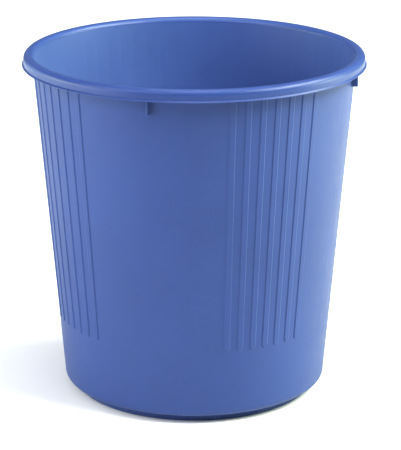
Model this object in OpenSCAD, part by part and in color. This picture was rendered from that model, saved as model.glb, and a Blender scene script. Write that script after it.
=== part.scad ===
// Round office wastebasket: one plastic moulding, divided where its own features meet.
// The origin is the centre of the standing face, +Z is up and -Y is the front.

/* [Bin] */
// Overall height
bin_h = 316; // [280:1:360]
// Diameter across the rim's lip
rim_d = 312; // [300:2:330]
// Diameter that the sloping wall would have at floor level
base_d = 240.1; // [226:0.1:250]
// Wall thickness
wall_t = 2.5; // [1.8:0.1:3]
// Outer radius of the corner between the wall and the underside
corner_r = 6; // [4:0.5:20]

/* [Foot] */
// Height of the foot that lifts the corner off the ground
foot_h = 7.4; // [5:0.1:12]
// Width of the ledge between the foot and the rounded corner
ledge_w = 5.5; // [2:0.1:20]
// Width of the flat ring that the bin stands on
foot_w = 8; // [6:1:20]
// How far the middle of the floor is raised off the ground
floor_lift = 2; // [1.2:0.1:4]
// Diameter of the injection point under the floor
gate_d = 8; // [4:1:14]
// Height of the injection point
gate_h = 0.8; // [0.4:0.1:1]

/* [Rim] */
// Width of the rolled bead, from the inner wall to the skirt
bead_w = 10.3; // [9:0.1:14]
// Height of the whole rim, from the bead's top to the lip's underside
rim_h = 10.7; // [9.6:0.1:16]
// Thickness of the lip where it leaves the skirt's bottom edge
lip_t = 1.7; // [1:0.1:2.4]
// Thickness of the lip at its outer edge
lip_edge = 0.6; // [0.3:0.1:0.9]
// How far the lip stands out from the skirt
lip_out = 1.3; // [0.9:0.1:3]

/* [Ribbed panels] */
// Raised ribs on each of the four ribbed panels
rib_count = 7; // [3:1:7]
// Angle from one rib to the next, in degrees
rib_pitch = 5.5; // [4.5:0.1:6]
// Width of a rib where it leaves the wall
rib_w = 6.1; // [4:0.1:7]
// Height of a rib above the wall
rib_h = 0.8; // [0.5:0.1:1.5]
// Height of the ribs' rounded lower ends above the ground
rib_foot_z = 70.5; // [45:0.5:120]

/* [Stacking lugs] */
// Thickness of a lug
lug_t = 2; // [1.6:0.1:4]
// Gap between a lug's outer edge and the rim's skirt
lug_gap = 0.8; // [0.4:0.1:3]
// How far a lug reaches below the lip
lug_drop = 13.6; // [6:0.2:25]

/* [Hidden] */
$fn = 96;
shell_colour = [0.27, 0.36, 0.68];

// Angle of each side of the bin about +Z
right = 0;
back = 90;
left = 180;
front = 270;

// Rim and bead
rim_r = rim_d / 2;
skirt_r = rim_r - lip_out;
bead_r = bead_w / 2;
bead_c = skirt_r - bead_r;
bead_z = bin_h - bead_r;
lip_z = bin_h - rim_h;

// The wall's outer face starts at base_r and is tangent to the hollow side of the bead
base_r = base_d / 2;
bead_run = bead_c - base_r;
bead_reach = sqrt(bead_run * bead_run + bead_z * bead_z);
slope = atan2(bead_run, bead_z) - asin((bead_r - wall_t) / bead_reach);
out = [cos(slope), -sin(slope)];
function wall_r(z) = base_r + z * tan(slope);

// Rounded corner, tangent to the ledge's underside and to the wall's outer face
corner_z = foot_h + corner_r;
corner_c = wall_r(corner_z) - corner_r / cos(slope);

// Foot: outer face, outer edge of its flat ring, and edge of the raised floor
step_r = corner_c - ledge_w;
ring_r = step_r - wall_t;
foot_r = ring_r - foot_w;
floor_top = floor_lift + wall_t;

// Angles taken by a ribbed panel and by a plain one
rib_panel_deg = 41;
plain_panel_deg = 90 - rib_panel_deg;
rib_top_z = lip_z + lip_t;

// How far a rib's blank reaches into the wall, and beyond the rib's outer face
rib_sink = 1;
rib_spare = 0.3;
big = 4 * corner_r + 4 * bead_r;

// A ring of the shell's thickness round a point, seen in section
module shell_arc(r) {
    difference() {
        circle(r);
        circle(r - wall_t);
    }
}

// Everything inside the wall's outer face moved out by a distance, fine enough to cut against
module wall_core(lift = 0) {
    grow = lift / cos(slope);
    cylinder(h = bin_h, r1 = base_r + grow, r2 = wall_r(bin_h) + grow, $fn = 720);
}

// Puts children on the wall's outer face: X points away from the wall and Z up along it
module on_wall(angle, z) {
    rotate([0, 0, angle])
        translate([wall_r(z), 0, z])
            rotate([0, slope, 0])
                children();
}

// Raised middle of the floor
module floor_plate() {
    color(shell_colour)
        translate([0, 0, floor_lift])
            cylinder(h = wall_t, r = foot_r);
}

// Flat ring that stands on the ground, with a step up to the floor plate
module foot_ring() {
    color(shell_colour)
        rotate_extrude()
            polygon([
                [foot_r, 0], [ring_r, 0], [ring_r, wall_t],
                [foot_r + wall_t, wall_t], [foot_r + wall_t, floor_top], [foot_r, floor_top]
            ]);
}

// Upright wall of the foot, from the ground to the top of the ledge
module foot_wall() {
    color(shell_colour)
        rotate_extrude()
            translate([ring_r, 0])
                square([wall_t, foot_h + wall_t]);
}

// Flat ledge that carries the rounded corner out beyond the foot
module foot_ledge() {
    color(shell_colour)
        rotate_extrude()
            translate([step_r, foot_h])
                square([ledge_w, wall_t]);
}

// Injection point in the middle of the floor's underside
module gate_mark() {
    color(shell_colour)
        translate([0, 0, floor_lift - gate_h])
            cylinder(h = gate_h, d = gate_d);
}

// Rounded corner between the ledge and the wall
module bottom_corner() {
    color(shell_colour)
        rotate_extrude()
            translate([corner_c, corner_z])
                intersection() {
                    shell_arc(corner_r);
                    polygon([[0, 0], [0, -big], [big, -big], [big, -big * tan(slope)]]);
                }
}

// Part of the sloping wall, from the rounded corner to the bead
module wall_panel(middle, span) {
    corner = [corner_c, corner_z];
    bead = [bead_c, bead_z];
    color(shell_colour)
        rotate([0, 0, middle - span / 2])
            rotate_extrude(angle = span)
                polygon([
                    corner + corner_r * out,
                    bead - (bead_r - wall_t) * out,
                    bead - bead_r * out,
                    corner + (corner_r - wall_t) * out
                ]);
}

// Solid that a rib is cut from, with sloping sides and a rounded lower end
module rib_blank(angle) {
    face = rib_h + rib_spare;
    half_root = rib_w / 2 + rib_sink;
    half_face = rib_w / 2 - face;
    run = (rib_top_z - rib_foot_z - rib_w / 2) / cos(slope);
    on_wall(angle, rib_foot_z + rib_w / 2) {
        linear_extrude(run)
            polygon([
                [-rib_sink, -half_root], [face, -half_face], [face, half_face], [-rib_sink, half_root]
            ]);
        rotate([0, 90, 0])
            rotate([0, 0, -90])
                rotate_extrude(angle = 180)
                    polygon([[0, -rib_sink], [half_root, -rib_sink], [half_face, face], [0, face]]);
    }
}

// The raised upright ribs of one ribbed panel, whose faces follow the wall
module ribs(middle) {
    color(shell_colour)
        difference() {
            intersection() {
                for (i = [0 : rib_count - 1])
                    rib_blank(middle + (i - (rib_count - 1) / 2) * rib_pitch);
                wall_core(rib_h);
            }
            wall_core();
        }
}

// Upright fin under the rim that stops nested bins from jamming
module lug(angle) {
    bottom_z = lip_z - lug_drop;
    reach = skirt_r - wall_t - lug_gap;
    color(shell_colour)
        difference() {
            rotate([0, 0, angle])
                translate([base_r, -lug_t / 2, bottom_z])
                    cube([reach - base_r, lug_t, bead_z - bottom_z]);
            wall_core();
        }
}

// Rounded top of the rolled rim, hollow on its underside
module rim_bead() {
    color(shell_colour)
        rotate_extrude()
            translate([bead_c, bead_z])
                intersection() {
                    shell_arc(bead_r);
                    polygon([[0, 0], [big, 0], [big, big], [-big, big], [-big, big * tan(slope)]]);
                }
}

// Short upright skirt that hangs from the bead
module rim_skirt() {
    color(shell_colour)
        rotate_extrude()
            translate([skirt_r - wall_t, lip_z + lip_t])
                square([wall_t, bead_z - lip_z - lip_t]);
}

// Small lip at the skirt's bottom, whose upper side slopes down to a thin outer edge
module rim_lip() {
    inner_r = skirt_r - wall_t;
    color(shell_colour)
        rotate_extrude()
            polygon([
                [inner_r, lip_z], [rim_r, lip_z], [rim_r, lip_z + lip_edge],
                [skirt_r, lip_z + lip_t], [inner_r, lip_z + lip_t]
            ]);
}

floor_plate();
foot_ring();
foot_wall();
foot_ledge();
gate_mark();
bottom_corner();
wall_panel(front, plain_panel_deg);  // wall_front
wall_panel(right, plain_panel_deg);  // wall_right
wall_panel(back, plain_panel_deg);  // wall_back
wall_panel(left, plain_panel_deg);  // wall_left
wall_panel(front + 45, rib_panel_deg);  // rib_wall_front_right
wall_panel(right + 45, rib_panel_deg);  // rib_wall_back_right
wall_panel(back + 45, rib_panel_deg);  // rib_wall_back_left
wall_panel(left + 45, rib_panel_deg);  // rib_wall_front_left
ribs(front + 45);  // ribs_front_right
ribs(right + 45);  // ribs_back_right
ribs(back + 45);  // ribs_back_left
ribs(left + 45);  // ribs_front_left
lug(front);  // lug_front
lug(right);  // lug_right
lug(back);  // lug_back
lug(left);  // lug_left
rim_bead();
rim_skirt();
rim_lip();
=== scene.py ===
"""Looks of a round office wastebasket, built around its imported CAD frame. Metres, +Z up, -Y the front."""

import math

import bpy
import numpy as np
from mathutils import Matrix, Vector


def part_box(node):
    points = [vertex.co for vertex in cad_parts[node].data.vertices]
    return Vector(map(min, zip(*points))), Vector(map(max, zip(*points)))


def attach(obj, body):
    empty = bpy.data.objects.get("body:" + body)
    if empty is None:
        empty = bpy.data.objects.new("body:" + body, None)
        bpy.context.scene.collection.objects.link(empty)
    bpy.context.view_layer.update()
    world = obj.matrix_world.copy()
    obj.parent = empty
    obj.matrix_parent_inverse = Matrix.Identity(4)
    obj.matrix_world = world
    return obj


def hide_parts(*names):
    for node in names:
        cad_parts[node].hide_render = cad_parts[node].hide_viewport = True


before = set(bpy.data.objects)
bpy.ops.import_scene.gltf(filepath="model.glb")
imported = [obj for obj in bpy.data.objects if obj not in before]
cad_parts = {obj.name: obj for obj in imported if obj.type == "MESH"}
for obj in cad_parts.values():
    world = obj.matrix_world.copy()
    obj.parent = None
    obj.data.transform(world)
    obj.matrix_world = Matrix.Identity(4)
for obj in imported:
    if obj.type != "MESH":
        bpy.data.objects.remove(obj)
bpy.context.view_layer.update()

MM = 0.001
BODY = "root"


# ---------------------------------------------------------------- sizes, read from the CAD frame


def low(node):
    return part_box(node)[0]


def high(node):
    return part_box(node)[1]


RIM_R = high("rim_lip").x
LIP_Z = low("rim_lip").z
LIP_TOP = high("rim_lip").z
SKIRT_R = high("rim_skirt").x
BEAD_Z = high("rim_skirt").z
BEAD_R = high("rim_bead").z - BEAD_Z
BEAD_C = SKIRT_R - BEAD_R
FLOOR_Z = low("floor_plate").z
FLOOR_TOP = high("floor_plate").z
WALL_T = FLOOR_TOP - FLOOR_Z
FOOT_R = high("floor_plate").x
RING_R = high("foot_ring").x
FOOT_H = low("foot_ledge").z
STEP_R = high("foot_wall").x
CORNER_C = high("foot_ledge").x
GATE_R = high("gate_mark").x
GATE_Z = low("gate_mark").z


def corner_and_slope():
    """Outer radius of the rounded corner, and the wall's slope, from the corner ring's box."""
    reach = high("bottom_corner").x - CORNER_C
    top = high("bottom_corner").z - FOOT_H
    slope = 0.08
    for _ in range(40):
        radius = reach / math.cos(slope)
        slope = math.asin((radius - top) / (radius - WALL_T))
    return radius, slope


CORNER_R, SLOPE = corner_and_slope()
CORNER_Z = FOOT_H + CORNER_R
OUT = np.array([math.cos(SLOPE), -math.sin(SLOPE)])
UP = np.array([math.sin(SLOPE), math.cos(SLOPE)])
WALL_START = np.array([CORNER_C, CORNER_Z]) + CORNER_R * OUT
WALL_END = np.array([BEAD_C, BEAD_Z]) - (BEAD_R - WALL_T) * OUT
WALL_LENGTH = float(np.dot(WALL_END - WALL_START, UP))


def wall_r(z):
    """Radius of the wall's outer face at height z."""
    return WALL_START[0] + (z - WALL_START[1]) * math.tan(SLOPE)


# ---------------------------------------------------------------- ribs, as the CAD has them

RIB_COUNT = 7
RIB_PITCH = math.radians(5.5)
RIB_HALF = 3.05 * MM
RIB_HEIGHT = 0.8 * MM
RIB_RAMP = 1.05 * MM
RIB_PANEL = math.radians(41)
PLAIN_PANEL = math.radians(49)
RIB_FOOT_Z = low("ribs_front_right").z
RIB_TOP_Z = high("ribs_front_right").z
SINK_DEPTH = 0.07 * MM
SINK_HALF = 4.2 * MM
WARP = 0.10 * MM

RIB_FOOT_S = (RIB_FOOT_Z + RIB_HALF - WALL_START[1]) / math.cos(SLOPE)
RIB_TOP_S = (RIB_TOP_Z - WALL_START[1]) / math.cos(SLOPE)


def rib_angles(middle):
    return [middle + (i - (RIB_COUNT - 1) / 2) * RIB_PITCH for i in range(RIB_COUNT)]


def smooth(x):
    x = np.clip(x, 0, 1)
    return x * x * (3 - 2 * x)


def warp(theta, s):
    """The slight unevenness of a moulded wall, nothing at either end, the same for every panel."""
    fade = np.sin(np.pi * np.clip(s / WALL_LENGTH, 0, 1)) ** 2
    wave = (
        0.50 * np.sin(2 * theta + 0.7 + 3.0 * s / WALL_LENGTH)
        + 0.30 * np.sin(5 * theta - 1.1 + 7.0 * s / WALL_LENGTH)
        + 0.20 * np.sin(9 * theta + 2.3 - 9.0 * s / WALL_LENGTH)
    )
    return WARP * fade * wave


def rib_relief(theta, s, angles):
    """Height of the raised ribs above the wall, with soft edges and rounded lower ends."""
    radius = WALL_START[0] + s * UP[0]
    height = np.zeros(np.broadcast(theta, s).shape)
    below = np.minimum(s - RIB_FOOT_S, 0)
    for angle in angles:
        across = radius * (theta - angle)
        inside = RIB_HALF - np.sqrt(across * across + below * below)
        inside = np.minimum(inside, RIB_TOP_S - s)
        rise = (inside + 0.12 * MM) / RIB_RAMP
        height = np.maximum(height, RIB_HEIGHT * (0.5 * smooth(rise) + 0.5 * np.clip(rise, 0, 1)))
    return height


def sink_relief(theta, s, angles):
    """Depth of the faint hollows that the ribs leave in the wall's inner face."""
    radius = WALL_START[0] + s * UP[0]
    depth = np.zeros(np.broadcast(theta, s).shape)
    along = smooth((s - RIB_FOOT_S + 6 * MM) / (12 * MM)) * smooth((RIB_TOP_S - s) / (8 * MM))
    for angle in angles:
        across = np.abs(radius * (theta - angle)) / SINK_HALF
        depth = np.maximum(depth, SINK_DEPTH * (1 - smooth(across)))
    return depth * along


def outer_face(theta, s, angles=()):
    """Points of the wall's outer face at angle theta and distance s up the wall."""
    lift = warp(theta, s)
    if angles:
        lift = lift + rib_relief(theta, s, angles)
    radius = WALL_START[0] + s * UP[0] + lift * OUT[0]
    z = WALL_START[1] + s * UP[1] + lift * OUT[1]
    return np.stack([radius * np.cos(theta), radius * np.sin(theta), z], axis=-1)


def inner_face(theta, s, angles=()):
    """Points of the wall's inner face at angle theta and distance s up the wall."""
    lift = warp(theta, s) - WALL_T
    if angles:
        lift = lift + sink_relief(theta, s, angles)
    radius = WALL_START[0] + s * UP[0] + lift * OUT[0]
    z = WALL_START[1] + s * UP[1] + lift * OUT[1]
    return np.stack([radius * np.cos(theta), radius * np.sin(theta), z], axis=-1)


def face_normals(face, theta, s, angles):
    """Normals of a wall face, away from the bin's axis."""
    step = 0.02 * MM
    turn = step / RIM_R
    across = face(theta + turn, s, angles) - face(theta - turn, s, angles)
    along = face(theta, s + step, angles) - face(theta, s - step, angles)
    normal = np.cross(across, along)
    return normal / np.linalg.norm(normal, axis=-1, keepdims=True)


# ---------------------------------------------------------------- meshes


def make_piece(name, nodes, points, faces, normals, *materials, slots=()):
    """One smooth-shaded piece with its own corner normals, standing for some CAD nodes."""
    mesh = bpy.data.meshes.new(name)
    mesh.from_pydata([tuple(p) for p in points], [], faces)
    mesh.shade_smooth()
    if normals is None:
        mesh.set_sharp_from_angle(angle=math.radians(38))
    else:
        mesh.normals_split_custom_set([tuple(n) for n in normals])
    for material in materials:
        mesh.materials.append(material)
    if slots:
        mesh.polygons.foreach_set("material_index", slots)
    piece = bpy.data.objects.new(name, mesh)
    bpy.context.scene.collection.objects.link(piece)
    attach(piece, BODY)
    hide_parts(*nodes)
    return piece


def line(*points):
    """Straight edges of a section through these (r, z) points, anticlockwise round the solid."""
    runs = []
    for start, end in zip(points[:-1], points[1:]):
        start, end = np.array(start, float), np.array(end, float)
        along = (end - start) / np.linalg.norm(end - start)
        normal = np.array([along[1], -along[0]])
        runs.append((np.array([start, end]), np.array([normal, normal])))
    return runs


def polar(centre, radius, degrees):
    """Point at an angle and a distance from a centre."""
    a = math.radians(degrees)
    return (centre[0] + radius * math.cos(a), centre[1] + radius * math.sin(a))


def arc(centre, radius, start, end, steps):
    """Rounded edge of a section, from one angle to another in degrees."""
    turn = np.radians(np.linspace(start, end, steps + 1))
    ray = np.stack([np.cos(turn), np.sin(turn)], axis=-1)
    side = 1 if end > start else -1
    return [(np.array(centre, float) + radius * ray, side * ray)]


def ring(name, nodes, runs, material, columns=360):
    """A piece of revolution about +Z from a closed section made of runs, or one that ends on the axis."""
    section = [runs[0][0][0]]
    for points, _ in runs:
        section.extend(points[1:])
    closed = np.allclose(section[0], section[-1])
    if closed:
        section = section[:-1]
    count = len(section)
    turns = [2 * math.pi * k / columns for k in range(columns)]
    points, index = [], {}
    for i, (r, z) in enumerate(section):
        for k, turn in enumerate(turns):
            if r < 1e-9 and k > 0:
                index[i, k] = index[i, 0]
                continue
            index[i, k] = len(points)
            points.append((r * math.cos(turn), r * math.sin(turn), z))
    faces, normals = [], []
    first = 0
    for run_points, run_normals in runs:
        for j in range(len(run_points) - 1):
            a, b = (first + j) % count, (first + j + 1) % count
            for k in range(columns):
                corners = [
                    (a, k, j), (a, (k + 1) % columns, j),
                    (b, (k + 1) % columns, j + 1), (b, k, j + 1),
                ]
                used, face = set(), []
                for i, column, m in corners:
                    vertex = index[i, column]
                    if vertex in used:
                        continue
                    used.add(vertex)
                    face.append(vertex)
                    nr, nz = run_normals[m]
                    turn = turns[column]
                    normals.append((nr * math.cos(turn), nr * math.sin(turn), nz))
                faces.append(face)
        first += len(run_points) - 1
    return make_piece(name, nodes, points, faces, normals, material)


def shell_panel(name, nodes, theta, s, angles, outside, inside):
    """A closed piece of the wall on a grid of angles and distances, one row of the grid for each s."""
    rows, columns = theta.shape
    outer = outer_face(theta, s, angles)
    inner = inner_face(theta, s, angles)
    outer_n = face_normals(outer_face, theta, s, angles)
    inner_n = -face_normals(inner_face, theta, s, angles)
    points = np.concatenate([outer.reshape(-1, 3), inner.reshape(-1, 3)])
    size = rows * columns
    faces, normals, slots = [], [], []
    for i in range(rows - 1):
        for j in range(columns - 1):
            quad = [(i, j), (i, j + 1), (i + 1, j + 1), (i + 1, j)]
            faces.append([a * columns + b for a, b in quad])
            normals.extend(outer_n[a, b] for a, b in quad)
            faces.append([size + a * columns + b for a, b in reversed(quad)])
            normals.extend(inner_n[a, b] for a, b in reversed(quad))
            slots.extend([0, 1])
    edge = [(0, j) for j in range(columns)]
    edge += [(i, columns - 1) for i in range(1, rows)]
    edge += [(rows - 1, j) for j in range(columns - 2, -1, -1)]
    edge += [(i, 0) for i in range(rows - 2, -1, -1)]
    for start, end in zip(edge[:-1], edge[1:]):
        a, b = (q[0] * columns + q[1] for q in (start, end))
        face = [b, a, size + a, size + b]
        faces.append(face)
        p = [points[v] for v in face]
        normal = np.cross(p[2] - p[0], p[3] - p[1])
        normals.extend([normal / np.linalg.norm(normal)] * 4)
        slots.append(0)
    return make_piece(name, nodes, points, faces, normals, outside, inside, slots=slots)


def plain_grid(middle):
    """Grid of a plain panel: about 1 degree by 8 mm."""
    turn = np.linspace(middle - PLAIN_PANEL / 2, middle + PLAIN_PANEL / 2, 50)
    s = np.linspace(0, WALL_LENGTH, 37)
    return np.meshgrid(turn, s)


def ribbed_grid(middle):
    """Grid of a ribbed panel, fine across the ribs' edges and round their lower ends."""
    half = np.concatenate([[0, 0.5, 1.0, 1.45, 1.75, 1.95], np.arange(2.1, 3.2, 0.15), [3.35, 3.7, 4.2]])
    across = np.concatenate([-half[:0:-1], half]) * MM
    foot = RIB_FOOT_S + np.concatenate([np.arange(-4.4, -1.6, 0.2), np.arange(-1.6, 0.7, 0.45)]) * MM
    top = RIB_TOP_S + np.array([-1.4, -1.1, -0.9, -0.7, -0.5, -0.3, -0.1, 0.1, 0.3]) * MM
    s = np.concatenate([
        np.linspace(0, foot[0] - 2 * MM, 7), foot,
        np.linspace(foot[-1], top[0], 30)[1:-1], top, [WALL_LENGTH],
    ])
    rows = []
    for distance in s:
        radius = WALL_START[0] + distance * UP[0]
        turn = [middle - RIB_PANEL / 2]
        for angle in rib_angles(middle):
            own = angle + across / radius
            turn.extend(np.linspace(turn[-1], own[0], 4)[1:-1])
            turn.extend(own)
        turn.extend(np.linspace(turn[-1], middle + RIB_PANEL / 2, 4)[1:])
        rows.append(turn)
    theta = np.array(rows)
    return theta, np.repeat(s[:, None], theta.shape[1], axis=1)


def make_lug(name, node, angle, material):
    """Upright fin under the rim: rounded nose and lower edge, small fillets where it meets the wall."""
    lowest, top = low(node).z, BEAD_Z
    reach = max(abs(v) for v in (*low(node).xy, *high(node).xy))
    thick = 1.0 * MM
    fillet = 0.7 * MM
    soft = 0.8 * MM
    levels = [(lowest + soft * (1 - math.cos(a)), soft * (1 - math.sin(a)))
              for a in np.radians([0, 18, 36, 54, 72, 90])]
    levels += [(lowest + (top - lowest) * k / 5, 0.0) for k in (1, 2, 3, 4, 5)]
    outlines = []
    for z, inset in levels:
        draft = 0.012 * (z - lowest)
        half = thick - inset + draft
        wall = wall_r(z)
        root = [(wall + fillet - fillet * math.sin(a), -(half + fillet - fillet * math.cos(a)))
                for a in np.radians([90, 68, 45, 22, 0])]
        nose_r = thick - inset
        nose_x = reach - thick
        nose = [(nose_x + nose_r * math.sin(a), -nose_r * math.cos(a))
                for a in np.radians(np.linspace(0, 180, 13))]
        sides = [(wall - 0.5 * MM, root[0][1])] + root + nose
        sides += [(x, -y) for x, y in reversed(root)] + [(wall - 0.5 * MM, -root[0][1])]
        outlines.append([(x, y, z) for x, y in sides])
    count = len(outlines[0])
    turn_c, turn_s = math.cos(angle), math.sin(angle)
    points = [(x * turn_c - y * turn_s, x * turn_s + y * turn_c, z) for o in outlines for x, y, z in o]
    faces = []
    for i in range(len(outlines) - 1):
        for j in range(count):
            k = (j + 1) % count
            faces.append([i * count + j, i * count + k, (i + 1) * count + k, (i + 1) * count + j])
    faces.append([j for j in reversed(range(count))])
    faces.append([(len(outlines) - 1) * count + j for j in range(count)])
    return make_piece(name, [node], points, faces, None, material)


# ---------------------------------------------------------------- materials


class Nodes:
    """Builds a material's node tree: add() makes a node, sets its inputs or links other nodes into them."""

    def __init__(self, name):
        self.material = bpy.data.materials.new(name)
        self.material.use_nodes = True
        self.tree = self.material.node_tree
        self.tree.nodes.clear()

    def add(self, kind, inputs=(), **settings):
        made = self.tree.nodes.new(kind)
        for key, value in settings.items():
            setattr(made, key, value)
        for key, value in dict(inputs).items():
            if isinstance(value, bpy.types.NodeSocket):
                self.tree.links.new(value, made.inputs[key])
            else:
                made.inputs[key].default_value = value
        return made

    def maths(self, operation, a, b=0.0, clamp=False):
        return self.add("ShaderNodeMath", {0: a, 1: b}, operation=operation, use_clamp=clamp).outputs[0]

    def noise(self, vector, scale, detail=2.0, roughness=0.5):
        made = self.add(
            "ShaderNodeTexNoise",
            {"Vector": vector, "Scale": scale, "Detail": detail, "Roughness": roughness},
        )
        return made.outputs["Fac"]

    def spread(self, value, low_in, high_in, low_out=0.0, high_out=1.0):
        """A value's range stretched softly onto another range."""
        made = self.add(
            "ShaderNodeMapRange",
            {"Value": value, "From Min": low_in, "From Max": high_in, "To Min": low_out, "To Max": high_out},
            interpolation_type="SMOOTHSTEP",
        )
        return made.outputs["Result"]

    def mix(self, factor, a, b):
        """Colour a where the factor is 0 and colour b where it is 1."""
        return self.add("ShaderNodeMix", {0: factor, 6: a, 7: b}, data_type="RGBA").outputs[2]


BLUE = (0.0350, 0.0695, 0.2370)
# painted light: the inner wall's paler tone stands in for light coming through the thin plastic
BLUE_INSIDE_PAINTED_LIGHT = (0.0720, 0.1290, 0.3530)
SCUFF = (0.24, 0.30, 0.52)


def plastic(name, tone=BLUE, foot_wear=0.0, draw=0.5, rings=0.0, satin=0.47, painted_light_bead=0.0):
    """Satin moulded polypropylene: faint mottling, draw marks up the wall, fine grain, scuffs near the ground.

    foot_wear, draw and rings set how strong the scuffs, draw marks and turned rings are. painted_light_bead is
    how far the inner wall's paler, painted-light tone takes over on the bead's inner side: a painted highlight
    there.
    """
    n = Nodes(name)
    place = n.add("ShaderNodeTexCoord").outputs["Object"]
    split = n.add("ShaderNodeSeparateXYZ", {0: place})
    radius = n.maths("SQRT", n.maths(
        "ADD", n.maths("POWER", split.outputs["X"], 2.0), n.maths("POWER", split.outputs["Y"], 2.0)))
    tall = n.add("ShaderNodeMapping", {"Vector": place, "Scale": (1, 1, 0.05)}).outputs[0]
    flat = n.add("ShaderNodeMapping", {"Vector": place, "Scale": (1, 1, 6)}).outputs[0]

    clouds = n.noise(place, 9, 3)
    mottle = n.noise(place, 70, 3)
    streaks = n.noise(tall, 260, 3, 0.6)
    grain = n.noise(place, 1700, 2)
    peel = n.noise(place, 420, 2)

    patches = n.maths("ADD", n.maths("MULTIPLY", clouds, 0.7), n.maths("MULTIPLY", mottle, 0.3))
    deep = tuple(0.92 * v for v in tone)
    colour = n.mix(n.spread(patches, 0.35, 0.65), (*deep, 1.0), (*tone, 1.0))
    # painted highlight: the bead's inner side is blended toward the inner wall's paler painted-light tone
    if painted_light_bead:
        painted_light_side = n.spread(radius, BEAD_C - 0.95 * BEAD_R, BEAD_C - 0.15 * BEAD_R, painted_light_bead, 0.0)
        colour = n.mix(painted_light_side, colour, (*BLUE_INSIDE_PAINTED_LIGHT, 1.0))

    scratches = n.spread(n.noise(flat, 420, 4, 0.7), 0.56, 0.70)
    near_ground = n.spread(split.outputs["Z"], 0.001, 0.016, 1.0, 0.0)
    scuffs = n.maths("MULTIPLY", n.maths("MULTIPLY", scratches, near_ground), foot_wear, clamp=True)
    colour = n.mix(scuffs, colour, (*SCUFF, 1.0))

    rough = n.spread(mottle, 0.3, 0.7, satin - 0.03, satin + 0.03)
    rough = n.maths("ADD", rough, n.maths("MULTIPLY", scuffs, 0.3))
    rough = n.maths("ADD", rough, n.maths("MULTIPLY", n.maths("SUBTRACT", streaks, 0.5), 0.10 * draw))

    height = n.maths("MULTIPLY", grain, 0.35)
    height = n.maths("ADD", height, n.maths("MULTIPLY", peel, 0.6))
    height = n.maths("ADD", height, n.maths("MULTIPLY", streaks, 0.5 * draw))
    height = n.maths("SUBTRACT", height, n.maths("MULTIPLY", scuffs, 0.8))
    if rings:
        turned = n.maths("SINE", n.maths("MULTIPLY", radius, 2 * math.pi / 0.0016))
        height = n.maths("ADD", height, n.maths("MULTIPLY", turned, rings))
    bump = n.add("ShaderNodeBump", {"Strength": 0.25, "Distance": 0.00004, "Height": height})

    shader = n.add("ShaderNodeBsdfPrincipled", {
        "Base Color": colour,
        "Roughness": rough,
        "IOR": 1.49,
        "Specular IOR Level": 0.30,
        "Sheen Weight": 0.06,
        "Sheen Roughness": 0.5,
        "Normal": bump.outputs[0],
    })
    n.add("ShaderNodeOutputMaterial", {"Surface": shader.outputs[0]})
    return n.material


def ground_material():
    """Pale matt studio floor."""
    n = Nodes("studio_floor")
    place = n.add("ShaderNodeTexCoord").outputs["Object"]
    tone = n.spread(n.noise(place, 3, 3), 0.3, 0.7)
    colour = n.mix(tone, (0.86, 0.86, 0.86, 1), (0.88, 0.88, 0.88, 1))
    shader = n.add("ShaderNodeBsdfDiffuse", {"Color": colour, "Roughness": 0.5})
    n.add("ShaderNodeOutputMaterial", {"Surface": shader.outputs[0]})
    return n.material


# ---------------------------------------------------------------- camera

CAMERA_TURN = math.radians(15.43)
CAMERA_OUT = 1.9628
CAMERA_HEIGHT = 0.7573
CAMERA_DOWN = math.radians(17.18)

camera_data = bpy.data.cameras.new("camera")
camera_data.sensor_width = 36
camera_data.lens = 177.27
camera_data.shift_x = 0.01375
camera_data.clip_end = 100
camera = bpy.data.objects.new("camera", camera_data)
camera.location = (CAMERA_OUT * math.sin(CAMERA_TURN), -CAMERA_OUT * math.cos(CAMERA_TURN), CAMERA_HEIGHT)
camera.rotation_euler = (math.pi / 2 - CAMERA_DOWN, 0, CAMERA_TURN)
bpy.context.scene.collection.objects.link(camera)
bpy.context.scene.camera = camera


# ---------------------------------------------------------------- pieces

wall_plastic = plastic("plastic_wall", draw=1.0)
# the inner wall is paler: painted light, a lighter copy of the wall plastic standing in for the light the thin
# plastic lets through
inner_plastic_painted_light = plastic("plastic_wall_inside_painted_light", tone=BLUE_INSIDE_PAINTED_LIGHT, draw=1.0)
foot_plastic = plastic("plastic_foot", foot_wear=0.8, draw=0.3)
floor_plastic = plastic("plastic_floor", foot_wear=0.5, draw=0.0, rings=0.25)
# the rim's bead is given a paler inner side: painted light
rim_plastic_painted_bead_light = plastic("plastic_rim_painted_bead_light", draw=0.0, satin=0.34, painted_light_bead=0.5)

SIDES = {"right": 0.0, "back": math.pi / 2, "left": math.pi, "front": 3 * math.pi / 2}
CORNERS = {"back_right": math.pi / 4, "back_left": 3 * math.pi / 4,
           "front_left": 5 * math.pi / 4, "front_right": 7 * math.pi / 4}

for side, turn in SIDES.items():
    theta, s = plain_grid(turn)
    shell_panel(f"wall_{side}_shell", [f"wall_{side}"], theta, s, (), wall_plastic, inner_plastic_painted_light)
    make_lug(f"lug_{side}_fin", f"lug_{side}", turn, wall_plastic)

for corner, turn in CORNERS.items():
    theta, s = ribbed_grid(turn)
    shell_panel(
        f"rib_wall_{corner}_shell", [f"rib_wall_{corner}", f"ribs_{corner}"],
        theta, s, tuple(rib_angles(turn)), wall_plastic, inner_plastic_painted_light,
    )

SLOPE_DEG = math.degrees(SLOPE)
bead = (BEAD_C, BEAD_Z)
wall_side = 180 - SLOPE_DEG
hollow_r = BEAD_R - WALL_T
ring("rim_bead_roll", ["rim_bead"],
     arc(bead, BEAD_R, 0, wall_side, 40)
     + line(polar(bead, BEAD_R, wall_side), polar(bead, hollow_r, wall_side))
     + arc(bead, hollow_r, wall_side, 0, 24)
     + line(polar(bead, hollow_r, 0), polar(bead, BEAD_R, 0)),
     rim_plastic_painted_bead_light)

skirt_in = SKIRT_R - WALL_T
ring("rim_skirt_band", ["rim_skirt"],
     line((skirt_in, LIP_TOP), (SKIRT_R, LIP_TOP), (SKIRT_R, BEAD_Z),
          (skirt_in, BEAD_Z), (skirt_in, LIP_TOP)),
     rim_plastic_painted_bead_light)

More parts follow.
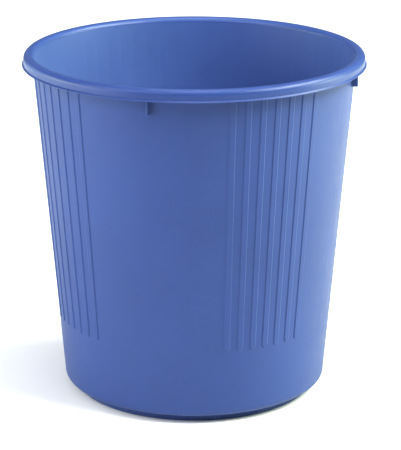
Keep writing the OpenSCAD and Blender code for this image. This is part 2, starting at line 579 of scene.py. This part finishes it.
# the lip's upper side slopes from the skirt down to a rounded nose
nose = 0.34 * MM
edge = 0.4 * MM
slope_top = (SKIRT_R + 0.10 * MM, LIP_TOP)
slope_turn = 44
slope_foot = polar((RIM_R - nose, LIP_Z + nose), nose, slope_turn)
ring("rim_lip_edge", ["rim_lip"],
     line((skirt_in + edge, LIP_Z), (RIM_R - nose, LIP_Z))
     + arc((RIM_R - nose, LIP_Z + nose), nose, -90, slope_turn, 8)
     + line(slope_foot, slope_top, (skirt_in, LIP_TOP), (skirt_in, LIP_Z + edge))
     + arc((skirt_in + edge, LIP_Z + edge), edge, 180, 270, 4),
     rim_plastic_painted_bead_light)

corner = (CORNER_C, CORNER_Z)
ring("bottom_corner_curve", ["bottom_corner"],
     arc(corner, CORNER_R, -90, -SLOPE_DEG, 24)
     + line(polar(corner, CORNER_R, -SLOPE_DEG), polar(corner, CORNER_R - WALL_T, -SLOPE_DEG))
     + arc(corner, CORNER_R - WALL_T, -SLOPE_DEG, -90, 24)
     + line((CORNER_C, FOOT_H + WALL_T), (CORNER_C, FOOT_H)),
     foot_plastic)

ledge_top = FOOT_H + WALL_T
ledge_fillet = 1.0 * MM
ring("foot_ledge_band", ["foot_ledge"],
     line((STEP_R + ledge_fillet, FOOT_H), (CORNER_C, FOOT_H), (CORNER_C, ledge_top), (STEP_R, ledge_top),
          (STEP_R, FOOT_H - ledge_fillet))
     + arc((STEP_R + ledge_fillet, FOOT_H - ledge_fillet), ledge_fillet, 180, 90, 6),
     foot_plastic)

soft = 0.9 * MM
ring("foot_wall_band", ["foot_wall"],
     line((RING_R, 0), (STEP_R - soft, 0))
     + arc((STEP_R - soft, soft), soft, -90, 0, 6)
     + line((STEP_R, soft), (STEP_R, ledge_top), (RING_R + soft, ledge_top))
     + arc((RING_R + soft, ledge_top - soft), soft, 90, 180, 6)
     + line((RING_R, ledge_top - soft), (RING_R, 0)),
     foot_plastic)

rise = FLOOR_TOP - WALL_T
rise_r = FOOT_R + WALL_T
ring("foot_ring_band", ["foot_ring"],
     line((FOOT_R + soft, 0), (RING_R, 0), (RING_R, WALL_T + soft))
     + arc((RING_R - soft, WALL_T + soft), soft, 0, -90, 6)
     + line((RING_R - soft, WALL_T), (rise_r + rise / 2, WALL_T))
     + arc((rise_r + rise / 2, WALL_T + rise / 2), rise / 2, 270, 180, 6)
     + arc((rise_r - rise / 2, WALL_T + rise / 2), rise / 2, 0, 90, 6)
     + line((rise_r - rise / 2, FLOOR_TOP), (FOOT_R, FLOOR_TOP), (FOOT_R, soft))
     + arc((FOOT_R + soft, soft), soft, 180, 270, 6),
     foot_plastic)

ring("floor_plate_disc", ["floor_plate"],
     line((0, FLOOR_Z), (FOOT_R - soft, FLOOR_Z))
     + arc((FOOT_R - soft, FLOOR_Z - soft), soft, 90, 0, 6)
     + line((FOOT_R, FLOOR_Z - soft), (FOOT_R, FLOOR_TOP), (0, FLOOR_TOP)),
     floor_plastic)

round_r = 0.3 * MM
vestige_r = 1.2 * MM
ring("gate_mark_button", ["gate_mark"],
     line((0, GATE_Z - 0.15 * MM), (vestige_r, GATE_Z - 0.15 * MM), (vestige_r + 0.1 * MM, GATE_Z),
          (GATE_R - round_r, GATE_Z))
     + arc((GATE_R - round_r, GATE_Z + round_r), round_r, -90, 0, 4)
     + line((GATE_R, GATE_Z + round_r), (GATE_R, FLOOR_Z), (0, FLOOR_Z)),
     floor_plastic, columns=64)


# ---------------------------------------------------------------- studio


def make_floor():
    """Pale floor, ending where the lights no longer reach it."""
    half = 2.5
    mesh = bpy.data.meshes.new("studio_floor")
    corners = [(-half, -half, 0), (half, -half, 0), (half, half, 0), (-half, half, 0)]
    mesh.from_pydata(corners, [], [(0, 1, 2, 3)])
    mesh.materials.append(ground_material())
    floor = bpy.data.objects.new("studio_floor", mesh)
    bpy.context.scene.collection.objects.link(floor)


def softbox(name, turn, height, distance, width, tall, power, colour):
    """Rectangular soft light facing the bin. Turn is in degrees round from the camera, to its right."""
    aim = Vector((0, 0, 0.16))
    a = CAMERA_TURN + math.radians(turn)
    place = Vector((distance * math.sin(a), -distance * math.cos(a), height))
    data = bpy.data.lights.new(name, "AREA")
    data.shape = "RECTANGLE"
    data.size = width
    data.size_y = tall
    data.energy = power
    data.color = colour
    light = bpy.data.objects.new(name, data)
    light.location = place
    light.rotation_euler = (aim - place).to_track_quat("-Z", "Y").to_euler()
    light.visible_camera = False
    bpy.context.scene.collection.objects.link(light)


# name, turn, height, distance, width, tall, power in watts, colour
LIGHTS = [
    ("right_high", 95, 1.7, 1.7, 1.1, 0.9, 57, (0.97, 1.0, 0.80)),
    ("right_front_high", 65, 1.7, 1.7, 1.1, 0.9, 58, (0.98, 1.0, 0.90)),
    ("right_low", 95, 0.45, 2.0, 1.1, 0.9, 34, (0.86, 1.0, 0.60)),
    ("right_front_top", 65, 2.6, 1.3, 1.1, 0.9, 10, (0.92, 1.0, 0.95)),
    ("left_low", -95, 0.45, 2.0, 1.1, 0.9, 25, (0.93, 1.0, 0.70)),
    ("left_back_low", -125, 0.45, 2.0, 1.1, 0.9, 6, (0.80, 1.0, 0.87)),
    ("left_front_low", -65, 0.45, 2.0, 1.1, 0.9, 21, (1.0, 1.0, 1.00)),
    ("left_front_high", -65, 1.7, 1.7, 1.1, 0.9, 17, (1.0, 1.0, 1.02)),
    ("front_fill", -35, 1.7, 1.7, 1.1, 0.9, 12, (0.96, 1.0, 1.20)),
    ("top_back", 0, 2.4, -0.3, 0.9, 0.9, 18, (1.0, 1.0, 1.0)),
    ("top_front", 0, 2.4, 0.8, 0.9, 0.9, 15, (1.0, 1.0, 1.0)),
]

make_floor()
for settings in LIGHTS:
    softbox(*settings)

world = bpy.data.worlds.new("studio")
bpy.context.scene.world = world
world.use_nodes = True
world.node_tree.nodes["Background"].inputs["Color"].default_value = (1, 1, 1, 1)
world.node_tree.nodes["Background"].inputs["Strength"].default_value = 1.0
# the camera sees the pale world, but it lights nothing
world.cycles_visibility.diffuse = False
world.cycles_visibility.glossy = False
bpy.context.scene.view_settings.view_transform = "Standard"
bpy.context.scene.view_settings.gamma = 0.85
